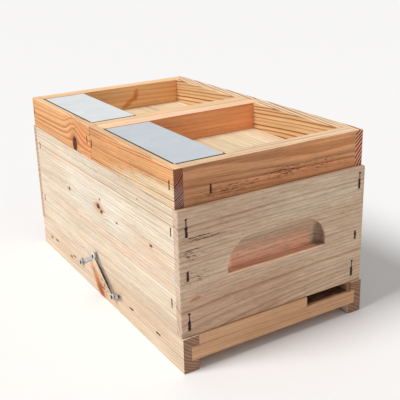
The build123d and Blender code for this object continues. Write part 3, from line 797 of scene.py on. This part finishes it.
def dress_feeders():
    # Dark flames in the rear feeder's inner wall
    flames = [
        ((38, -11.5, 8), (0.2, 0, 1), 13, 5.0, FLAME),
        ((22, -11.5, -6), (1, 0, 0.7), 18, 5.0, FLAME),
    ]
    # The inner rear walls' wood is made brighter: painted bounce light from the tank floors
    inner_looks = {
        "front": (RED, (), (1.04, 1.54, 2.20)),
        "rear": (AMBER, flames, (0.98, 1.14, 1.34)),
    }
    for name, seed in (("front", 11.0), ("rear", 21.0)):
        staples = f"{name}_feeder_staples"
        board(
            f"{name}_feeder_right_board",
            "Y",
            (58, 0, -62),
            HONEY,
            stapled=[(staples, RIGHT_FACE)],
            tilt=(5.0, 0.0),
            ring=0.0043,
            fine=0.4,
            uneven=0.9,
            contrast=1.3,
            end_tint=(1.22, 0.90, 1.00),
            top=(1.18, 1.36, 1.75),
            seed=seed,
        )
        colours, tints, top = inner_looks[name]
        board(
            f"{name}_feeder_rear_board",
            "X",
            (0, -45, 40),
            colours,
            tints=tints,
            tilt=(1.0, 0.5),
            ring=0.0055,
            contrast=0.5,
            top=top,
            seed=seed + 1,
        )
        inner = {"ring": 0.0045, "contrast": 0.45}
        board(f"{name}_feeder_tank_floor", "Y", (0, 0, -160), PALE, seed=seed + 2, **inner)
        board(f"{name}_feeder_chimney_wall", "Y", (40, 0, 60), PALE, seed=seed + 3, **inner)
        board(f"{name}_feeder_baffle_wall", "Y", (-40, 0, 60), PALE, seed=seed + 4, **inner)
    board(
        "front_feeder_left_board",
        "Y",
        (-50, 0, 46),
        ORANGE,
        tints=[((-12, -70, -17), (0, 1, -0.09), 140, 19, STRAW)],
        end_tint=(0.58, 0.42, 0.52),
        stapled=[("front_feeder_staples", LEFT_FACE)],
        lines=[plate_gap_shadow("front_feeder")[0]],
        tilt=(1.2, 0.0),
        ring=0.0021,
        contrast=1.0,
        texture=1.5,
        top=UPWARD_TINT,
        seed=15.0,
    )
    board(
        "rear_feeder_left_board",
        "Y",
        (-60, 0, 40),
        ORANGE,
        knots=[((-12, -62, -15), LEFT_FACE, 12.5, 0.72)],
        tints=[((-12, -100, -4), (0, 0.4, 1), 30, 14, (1.04, 0.86, 0.84))],
        stapled=[("rear_feeder_staples", LEFT_FACE)],
        lines=[plate_gap_shadow("rear_feeder")[0]],
        tilt=(0.5, 0.0),
        ring=0.0045,
        waver=0.022,
        contrast=0.9,
        top=UPWARD_TINT,
        seed=16.0,
    )
    front_tints = [
        ((50, -12, -15), X_AXIS, 110, 13, (1.0, 0.88, 0.78)),
        ((75, -12, 12), X_AXIS, 80, 14, (1.10, 1.02, 0.88)),
        ((-100, -12, -12), X_AXIS, 60, 14, (0.94, 0.92, 0.88)),
    ]
    torn = [
        ((14, -12, -8), (74, 6, 14), 0.85),
        ((-70, -12, -14), (80, 6, 12), 0.8),
        ((80, -12, -10), (60, 6, 14), 0.6),
    ]
    board(
        "front_feeder_front_board",
        "X",
        (0, 80, 50),
        TAN,
        tints=front_tints,
        scars=torn,
        stapled=[("front_feeder_staples", FRONT_FACE)],
        lines=[plate_gap_shadow("front_feeder")[1]],
        tilt=(0.8, 0.0),
        ring=0.0055,
        contrast=0.7,
        texture=1.7,
        top=(1.30, 1.92, 2.55),
        seed=17.0,
    )
    board(
        "rear_feeder_front_board",
        "X",
        (0, 60, 50),
        ORANGE,
        stapled=[("rear_feeder_staples", FRONT_FACE)],
        lines=[plate_gap_shadow("rear_feeder")[1]],
        tilt=(0.8, 0.0),
        ring=0.0055,
        contrast=0.6,
        top=UPWARD_TINT,
        seed=18.0,
    )


def dress_frames():
    slats = {"ring": 0.005, "contrast": 0.5}
    for name, seed in (("front", 31.0), ("rear", 41.0)):
        board(f"{name}_frame_top_bars", "Y", (0, 0, -90), PALE, seed=seed, **slats)
        board(f"{name}_frame_side_bars", "Z", (0, -90, 0), PALE, seed=seed + 1, **slats)
        board(f"{name}_frame_bottom_bars", "Y", (0, 0, 90), PALE, seed=seed + 2, **slats)
    wax = beeswax()
    dress("front_frame_wax_sheets", wax)
    dress("rear_frame_wax_sheets", wax)


SHADE_DEPTH = 9 * MM
TAB_END_INSET = 2.8 * MM
TAB_END_HEIGHT = 30.6 * MM


def dress_clips(bright):
    """Painted shade in the screw heads' recesses, and a painted shadow line along each front link with a
    painted dark spot at its tab end.
    """
    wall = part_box("box_side_right")[1].x
    heads = {}
    for screws in ("clip_floor_screws", "clip_pivot_screws"):
        boxes = islands(screws, lambda point: abs(point.x) > wall + MM)
        heads[screws] = [(low + high) / 2 for low, high in boxes]
        # Painted shade darkens the middle of each screw head, where its recess is
        shade_spots = [(at, X_AXIS, SHADE_DEPTH, 4.3 * MM) for at in heads[screws]]
        dress(screws, metal(f"zinc_{screws}", colour(240, 240, 242), 0.3, metallic=0.5, shade_spots=shade_spots))
    for side, sign in (("left", -1), ("right", 1)):
        dress(f"{side}_back_link", bright)
        pivot = next(at for at in heads["clip_pivot_screws"] if at.x * sign > 0)
        foot = min((at for at in heads["clip_floor_screws"] if at.x * sign > 0), key=lambda at: at.y)
        run = foot - pivot
        run.x = 0.0
        middle_of_run = (foot + pivot) / 2
        # A painted shadow line along the link, and a painted dark spot at its tab end
        link_shade = [(middle_of_run, run.normalized(), run.length * 0.62, 4.4 * MM)]
        link = f"{side}_front_link"
        tab_end = Vector((foot.x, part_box(link)[0].y + TAB_END_INSET, TAB_END_HEIGHT))
        link_shade.append((tab_end, X_AXIS, SHADE_DEPTH, 3.4 * MM))
        dress(link, metal(f"zinc_{link}", colour(188, 186, 182), 0.3, shade_spots=link_shade))


def dress_metal():
    sheet = metal("zinc_sheet", colour(227, 235, 242), 0.45, metallic=0.4, mottle=0.16)
    # The rear plate gets a brighter copy of the same sheet: a painted reflection
    brighter_sheet = metal("zinc_sheet_painted_brighter", colour(247, 252, 255), 0.45, metallic=0.3, mottle=0.14)
    bright = metal("bright_zinc", colour(186, 186, 190), 0.24, mottle=0.3)
    dull = metal("staple_wire", colour(48, 34, 28), 0.6, metallic=0.3, mottle=0.3)
    dress("front_feeder_cover_plate", sheet)
    dress("rear_feeder_cover_plate", brighter_sheet)
    dress("divider_sheet", sheet)
    dress("clip_floor_spacers", bright)
    dress("clip_pivot_spacers", bright)
    dress_clips(bright)
    for part in ("floor_staples", "box_staples", "front_feeder_staples", "rear_feeder_staples"):
        dress(part, dull)


dress_floor()
dress_box()
dress_feeders()
dress_frames()
dress_metal()


# ---------------------------------------------------------------- studio
def studio_floor():
    mesh = bpy.data.meshes.new("studio_floor")
    reach = 40.0
    sink = 0.2 * MM
    corners = [(-reach, -reach, 0), (reach, -reach, 0), (reach, reach, 0), (-reach, reach, 0)]
    mesh.from_pydata(corners, [], [(0, 1, 2, 3)])
    plane = bpy.data.objects.new("studio_floor", mesh)
    bpy.context.scene.collection.objects.link(plane)
    plane.location.z = -sink
    material = bpy.data.materials.new("studio_paper")
    material.use_nodes = True
    shader = material.node_tree.nodes["Principled BSDF"]
    shader.inputs["Base Color"].default_value = (0.93, 0.93, 0.94, 1.0)
    shader.inputs["Roughness"].default_value = 0.9
    mesh.materials.append(material)


def studio():
    scene = bpy.context.scene
    scene.view_settings.view_transform = "Standard"
    scene.view_settings.look = "None"
    world = bpy.data.worlds.new("studio")
    scene.world = world
    world.use_nodes = True
    background = world.node_tree.nodes["Background"]
    background.inputs["Color"].default_value = WHITE
    background.inputs["Strength"].default_value = 0.42
    studio_floor()
    # A big soft window high on the left, a little behind the hive
    data = bpy.data.lights.new("window", "SUN")
    data.angle = radians(24.0)
    data.energy = 2.5
    data.color = (1.0, 0.985, 0.96)
    window = bpy.data.objects.new("window", data)
    scene.collection.objects.link(window)
    window.rotation_mode = "QUATERNION"
    shine = Vector((0.64, -0.10, -0.76))
    window.rotation_quaternion = shine.to_track_quat("-Z", "Y")


def camera():
    """From the front left, a little above, turned slightly clockwise."""
    azimuth, elevation, roll = radians(-29.94), radians(19.06), radians(-1.97)
    target = Vector((0.0003, -0.0155, 0.1628))
    distance = 1.108
    back = Vector((sin(azimuth) * cos(elevation), -cos(azimuth) * cos(elevation), sin(elevation)))
    data = bpy.data.cameras.new("camera")
    data.lens = 64.2
    data.sensor_width = 36.0
    data.shift_x = 0.035
    data.shift_y = -0.05
    eye = bpy.data.objects.new("camera", data)
    bpy.context.scene.collection.objects.link(eye)
    eye.location = target + back * distance
    eye.rotation_mode = "QUATERNION"
    aimed = (-back).to_track_quat("-Z", "Y")
    eye.rotation_quaternion = aimed @ Euler((0.0, 0.0, roll)).to_quaternion()
    bpy.context.scene.camera = eye


studio()
camera()
